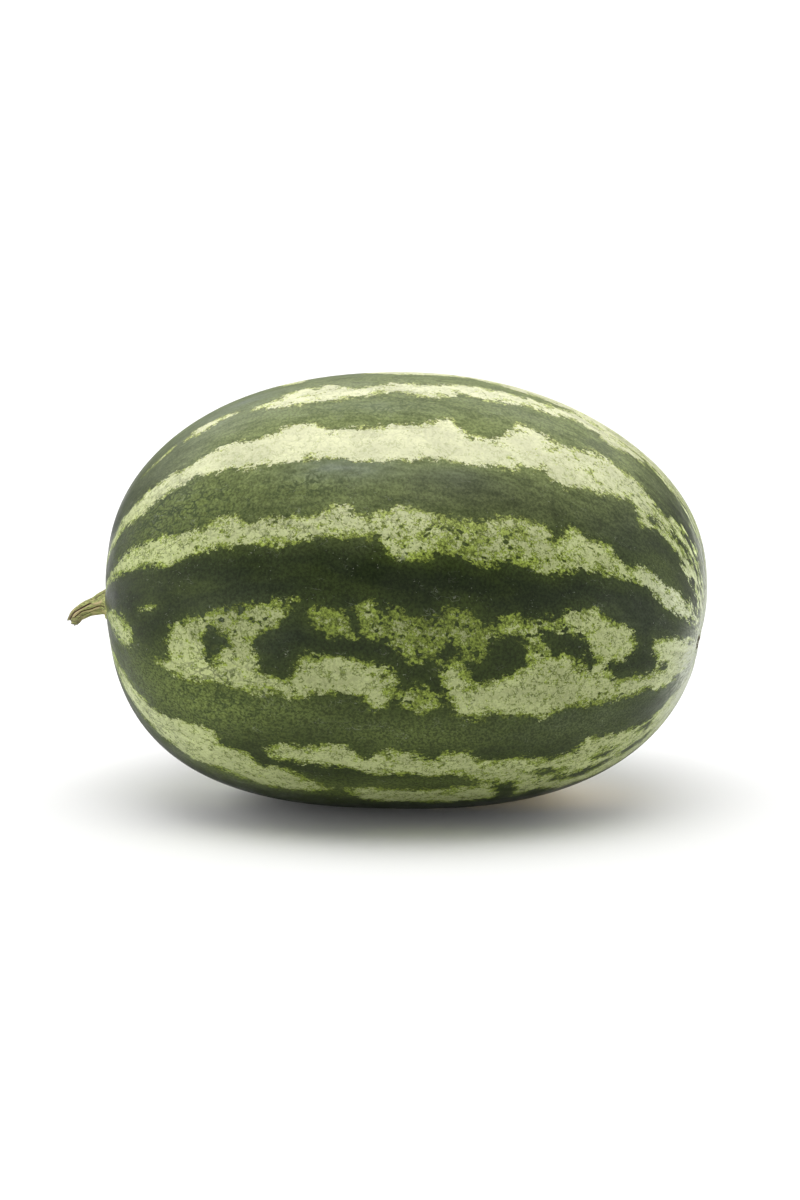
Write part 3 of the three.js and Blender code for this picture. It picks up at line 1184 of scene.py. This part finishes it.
def grow_scar(settings, fruit):
    """A puckered button of cork in the dimple, with a sunken middle and cracks from it."""
    side_rows, top_rows, columns = 8, 40, 96
    bottom, lift = -0.0009, 0.0001
    ring_height, edge_drop, crack_depth = 0.0005, 0.0004, 0.00045
    turn = 2 * np.pi * np.arange(columns) / columns
    outer = np.concatenate((np.linspace(0.35, 1, side_rows), np.linspace(0.97, 0.04, top_rows)))
    outer, turn = np.meshgrid(outer, turn, indexing="ij")
    uneven = 1 + 0.10 * np.cos(3 * turn + 0.7) + 0.06 * np.cos(7 * turn + 2.1)
    per_metre = np.pi / (FRUIT_HIGH[0] - FRUIT_LOW[0])
    along = np.pi - outer * uneven * settings.radius * per_metre * 1.35
    points, outward = skin_points(along, turn, fruit)

    top = np.arange(len(outer))[:, None] >= side_rows
    button = ring_height * np.exp(-(((outer - 0.5) / 0.22) ** 2)) - edge_drop * outer**6
    cracks = (0.5 + 0.5 * np.cos(5 * turn + 2.5 * np.sin(2 * turn))) ** 10
    cracks = cracks * np.exp(-(((outer - 0.4) / 0.3) ** 2))
    height = np.where(top, button - crack_depth * cracks + lift, bottom)
    points = points + outward * height[..., None]

    round_middle = skin_points(np.full((1, 8), np.pi - NUDGE), turn[:1, ::12], fruit)
    middle, facing = (values.mean(axis=(0, 1)) for values in round_middle)
    mesh = closed_tube("blossom_scar", points, middle + facing * bottom, middle - facing * lift)
    set_values(mesh, "outer", with_ends(outer))
    set_flow_from_place(mesh)
    mesh.materials.append(corky_scar(settings))
    return add_piece("blossom_scar", mesh, "rind")


# ---------------------------------------------------------------------------------------------
# Stem


def smooth_line(table, count):
    """Points of a smooth curve through the rows of a table."""
    rows = np.array(table)
    padded = np.concatenate((2 * rows[:1] - rows[1:2], rows, 2 * rows[-1:] - rows[-2:-1]))
    place = np.linspace(0, len(rows) - 1, count)
    span = np.minimum(place.astype(int), len(rows) - 2)
    share = (place - span)[:, None]
    before, start, end, after = (padded[span + step] for step in range(4))
    return 0.5 * (
        2 * start
        + (end - before) * share
        + (2 * before - 5 * start + 4 * end - after) * share**2
        + (3 * start - before - 3 * end + after) * share**3
    )


def lengthwise_marks(table, share, turn, radius):
    """Strength and depth in metres of the marks that run along the stem."""
    fade = 0.08
    strength = np.zeros(share.shape)
    depth = np.zeros(share.shape)
    for start, end, first, last, width, deep in table:
        place = np.clip((share - start) / (end - start), 0, 1)
        middle = np.radians(first + (last - first) * place) + 0.05 * np.sin(23 * share + first)
        aside = radius * np.abs((turn - middle + np.pi) % (2 * np.pi) - np.pi)
        taper = smooth_step((share - start) / fade) * smooth_step((end - share) / fade)
        mark = taper * np.exp(-((1000 * aside / width) ** 2))
        strength = np.maximum(strength, mark)
        depth = np.maximum(depth, 0.001 * deep * mark)
    return strength, depth


def dried_stem(settings):
    """Fibrous olive skin that has dried to tan ridges and dark cracks."""
    recipe = Recipe("dried_stem")
    flow = recipe.vector("flow")
    share = recipe.value("share")
    crack = recipe.value("crack")
    strands = recipe.noise(recipe.stretched(flow, (0.12, 1.0, 1.0)), 0.55, 3, 0.6)
    mottle = recipe.noise(recipe.stretched(flow, (0.4, 1.0, 1.0)), 2.0, 3, 0.6)

    towards_tip = recipe.ramp(share, 0.4, 0.8, 0, 0.25)
    dryness = recipe.plus(towards_tip, recipe.ramp(mottle, 0.42, 0.64, -0.1, 0.4))
    skin = recipe.mix(dryness, settings.olive, settings.tan)
    skin = recipe.scaled(skin, recipe.ramp(strands, 0.32, 0.68, 0.42, 1.45))
    near_tip = recipe.ramp(share, 0.7, 0.95)
    stain = recipe.times(near_tip, recipe.ramp(mottle, 0.38, 0.55, 0.2, 0.8))
    skin = recipe.mix(stain, skin, settings.broken)
    ridges = recipe.times(recipe.value("ridge"), 0.8)
    skin = recipe.mix(ridges, skin, recipe.scaled(settings.tan, 1.3))

    crack_sides = recipe.mix(0.35, settings.crack, settings.tan)
    skin = recipe.mix(recipe.ramp(crack, 0.1, 0.4, 0, 0.7), skin, crack_sides)
    skin = recipe.mix(recipe.ramp(crack, 0.28, 0.65), skin, settings.crack)
    pith = recipe.ramp(recipe.noise(flow, 0.7, 3, 0.6), 0.3, 0.7, 0.45, 1.7)
    skin = recipe.mix(recipe.value("broken"), skin, recipe.scaled(settings.broken, pith))
    recipe.shader.inputs["Specular IOR Level"].default_value = 0.3
    rough = recipe.ramp(mottle, 0.3, 0.7, 0.6, 0.85)
    return recipe.finish(skin, rough, recipe.bump(strands, 0.00012))


def stem_directions(line):
    """Unit directions along the stem, out of its top and out of its front."""
    tangent = np.gradient(line, axis=0)
    tangent /= np.linalg.norm(tangent, axis=1, keepdims=True)
    up = np.cross((0.0, 1.0, 0.0), tangent)
    up /= np.linalg.norm(up, axis=1, keepdims=True)
    return tangent, up, np.cross(up, tangent)


def fine_relief(share, turn):
    """Height of the fine fibres, and of the roots that spread onto the fruit."""
    fibres = 0.00004 * (
        np.cos(23 * turn + 5 * np.sin(3 * share + 1))
        + np.cos(37 * turn + 4 * np.sin(4 * share + 2))
        + np.cos(11 * turn + 6 * np.sin(5 * share))
    )
    roots = 0.0002 * np.exp(-((share / 0.24) ** 2)) * np.cos(10 * turn + 1.2)
    return fibres, roots


def chipped_tip(share, turn):
    """How far the tip stands out or is broken back along the stem."""
    deepest = 0.0006
    chips = deepest * np.cos(3 * turn + 0.4) + 0.0004 * np.cos(7 * turn + 2)
    chips = chips + 0.0002 * np.cos(17 * turn)
    return smooth_step((share - 0.85) / 0.15) * (chips - deepest)


def torn_hollow(rim, turn, tangent):
    """Rows of points that go in from the rim of the tip, down into the hollow stem."""
    inward = np.linspace(0.94, 0.08, 16)[:, None]
    middle = rim.mean(axis=0)
    frayed = 0.00022 * np.cos(9 * turn + 9 * inward) * inward
    hollow = -STEM_HOLLOW * (1 - inward**2) + frayed
    return middle + (rim - middle) * inward[..., None] + tangent * hollow[..., None]


def grow_stem(settings):
    """A ribbed, cracked stub that flares onto the fruit and ends in a broken hollow tip."""
    line = smooth_line(STEM_LINE, settings.steps)
    tangent, up, front = stem_directions(line[:, :3])
    share = np.linspace(0, 1, settings.steps)
    turn = 2 * np.pi * np.arange(settings.sides) / settings.sides
    share, turn = np.meshgrid(share, turn, indexing="ij")
    radius = line[:, 3:4]
    rib = settings.rib_height * np.cos(5 * turn + 2 * share)
    crack, crack_depth = lengthwise_marks(STEM_CRACKS, share, turn, radius)
    ridge, ridge_height = lengthwise_marks(STEM_RIDGES, share, turn, radius)
    fibres, roots = fine_relief(share, turn)
    reach = radius * (1 + rib) - settings.crack_depth * crack_depth
    reach = reach + 0.5 * ridge_height + fibres + roots

    out = up[:, None] * np.cos(turn)[..., None] + front[:, None] * np.sin(turn)[..., None]
    pull = chipped_tip(share, turn)
    outside = line[:, None, :3] + out * reach[..., None] + tangent[:, None] * pull[..., None]
    inside = torn_hollow(outside[-1], turn[0], tangent[-1])
    root = pole_point(0.0)
    rows = np.concatenate((outside, inside)) + root
    bottom = outside[-1].mean(axis=0) + root - STEM_HOLLOW * tangent[-1]
    mesh = closed_tube("stem_fibres", rows, line[0, :3] + root, bottom)

    def with_hollow(values, fill):
        return with_ends(np.concatenate((values, np.full((len(inside), settings.sides), fill))))

    set_values(mesh, "share", with_hollow(share, 1.0))
    set_values(mesh, "crack", with_hollow(crack, 0.0))
    set_values(mesh, "ridge", with_hollow(ridge, 0.0))
    set_values(mesh, "broken", with_hollow(smooth_step((share - 0.96) / 0.04), 1.0))
    set_flow_from_place(mesh)
    mesh.materials.append(dried_stem(settings))
    return add_piece("stem_fibres", mesh, "stem", "stem")


# ---------------------------------------------------------------------------------------------
# Stage


def studio_world(settings):
    """Soft lights low in front, overhead, behind and at both ends.

    Each ramp is along one part of the unit direction that the light comes from.
    """
    world = bpy.data.worlds.new("studio")
    world.use_nodes = True
    sky = NodeKit(world.node_tree)
    direction = sky.node("ShaderNodeTexCoord", {}).outputs["Generated"]
    across, away, up = sky.node("ShaderNodeSeparateXYZ", {0: direction}).outputs

    front = sky.ramp(away, -0.4, 0.4, 1.0, 0.0)
    back = sky.ramp(away, -0.4, 0.4, 0.0, 1.0)
    low = sky.times(front, sky.ramp(up, 0.0, 0.2, settings.front_light, 0.0))
    top = sky.times(front, sky.ramp(up, 0.76, 0.98, 0.0, settings.top_light))
    rise = sky.ramp(up, 0.28, 0.6, 0.0, settings.back_light)
    fall = sky.ramp(up, 0.6, 0.85, 1.0, 0.0)
    behind = sky.times(back, sky.times(rise, fall))
    stem_side = sky.ramp(across, -0.85, -0.45, settings.stem_light, 0.0)
    blossom_side = sky.ramp(across, 0.45, 0.85, 0.0, settings.blossom_light)
    sides = sky.plus(stem_side, blossom_side, settings.room_light)
    light = sky.plus(sky.plus(low, top), sky.plus(behind, sides))
    background = world.node_tree.nodes["Background"]
    sky.feed(background.inputs["Strength"], light)
    background.inputs["Color"].default_value = (1, 1, 1, 1)
    return world


def pale_floor(settings):
    """A matt, very faintly mottled floor."""
    recipe = Recipe("pale_floor")
    place = recipe.node("ShaderNodeTexCoord", {}).outputs["Object"]
    tint = recipe.ramp(recipe.noise(place, 0.6, 2), 0.3, 0.7, 0.99, 1.0)
    colour = recipe.scaled(tuple(settings.floor_colour), tint)
    recipe.feed(recipe.shader.inputs["Base Color"], colour)
    recipe.shader.inputs["Roughness"].default_value = 0.9
    recipe.shader.inputs["Specular IOR Level"].default_value = 0.1
    return recipe.material


def lay_floor(settings):
    half = 20.0
    corners = [(-half, -half, 0), (half, -half, 0), (half, half, 0), (-half, half, 0)]
    mesh = bpy.data.meshes.new("floor")
    mesh.from_pydata(corners, [], [(0, 1, 2, 3)])
    mesh.materials.append(pale_floor(settings))
    floor = bpy.data.objects.new("floor", mesh)
    bpy.context.scene.collection.objects.link(floor)


def place_camera(settings):
    camera = bpy.data.cameras.new("camera")
    camera.sensor_fit = "VERTICAL"
    camera.sensor_height = 36
    camera.lens = settings.lens
    camera.clip_end = 100
    eye = bpy.data.objects.new("camera", camera)
    away = Vector((0, -math.cos(settings.elevation), math.sin(settings.elevation)))
    eye.location = Vector(CAMERA_TARGET) + away * settings.distance
    eye.rotation_euler = away.to_track_quat("Z", "Y").to_euler()
    bpy.context.scene.collection.objects.link(eye)
    bpy.context.scene.camera = eye


def set_stage(settings):
    """The floor, the light and the camera."""
    lay_floor(settings)
    bpy.context.scene.world = studio_world(settings)
    bpy.context.scene.view_settings.view_transform = "Standard"
    place_camera(settings)


# ---------------------------------------------------------------------------------------------
# Operators, panel and registration


class WATERMELON_OT_rind(bpy.types.Operator):
    """Grow the fruit with its striped rind"""

    bl_idname = "watermelon.rind"
    bl_label = "Grow Rind"

    def execute(self, context):
        grow_rind(context.scene.watermelon_fruit)
        return {"FINISHED"}


class WATERMELON_OT_scar(bpy.types.Operator):
    """Grow the corky scar that the blossom left"""

    bl_idname = "watermelon.scar"
    bl_label = "Grow Blossom Scar"

    def execute(self, context):
        grow_scar(context.scene.watermelon_scar, context.scene.watermelon_fruit)
        return {"FINISHED"}


class WATERMELON_OT_stem(bpy.types.Operator):
    """Grow the dried stub of the stem"""

    bl_idname = "watermelon.stem"
    bl_label = "Grow Stem"

    def execute(self, context):
        grow_stem(context.scene.watermelon_stem)
        return {"FINISHED"}


class WATERMELON_OT_stage(bpy.types.Operator):
    """Set the floor, the light and the camera"""

    bl_idname = "watermelon.stage"
    bl_label = "Set Stage"

    def execute(self, context):
        set_stage(context.scene.watermelon_stage)
        return {"FINISHED"}


class WATERMELON_PT_parts(bpy.types.Panel):
    """Buttons and settings of the watermelon"""

    bl_label = "Watermelon"
    bl_idname = "WATERMELON_PT_parts"
    bl_space_type = "VIEW_3D"
    bl_region_type = "UI"
    bl_category = "Watermelon"

    def draw(self, context):
        scene = context.scene
        for operator, settings in (
            ("watermelon.rind", scene.watermelon_fruit),
            ("watermelon.scar", scene.watermelon_scar),
            ("watermelon.stem", scene.watermelon_stem),
            ("watermelon.stage", scene.watermelon_stage),
        ):
            box = self.layout.box()
            box.operator(operator)
            for name in settings.__annotations__:
                box.prop(settings, name)


CLASSES = (
    FruitSettings,
    ScarSettings,
    StemSettings,
    StageSettings,
    WATERMELON_OT_rind,
    WATERMELON_OT_scar,
    WATERMELON_OT_stem,
    WATERMELON_OT_stage,
    WATERMELON_PT_parts,
)


def register():
    for item in CLASSES:
        bpy.utils.register_class(item)
    bpy.types.Scene.watermelon_fruit = PointerProperty(type=FruitSettings)
    bpy.types.Scene.watermelon_scar = PointerProperty(type=ScarSettings)
    bpy.types.Scene.watermelon_stem = PointerProperty(type=StemSettings)
    bpy.types.Scene.watermelon_stage = PointerProperty(type=StageSettings)


def unregister():
    del bpy.types.Scene.watermelon_stage
    del bpy.types.Scene.watermelon_stem
    del bpy.types.Scene.watermelon_scar
    del bpy.types.Scene.watermelon_fruit
    for item in reversed(CLASSES):
        bpy.utils.unregister_class(item)


def main():
    register()
    bpy.ops.watermelon.rind()
    bpy.ops.watermelon.scar()
    bpy.ops.watermelon.stem()
    bpy.ops.watermelon.stage()


if __name__ == "__main__":
    main()
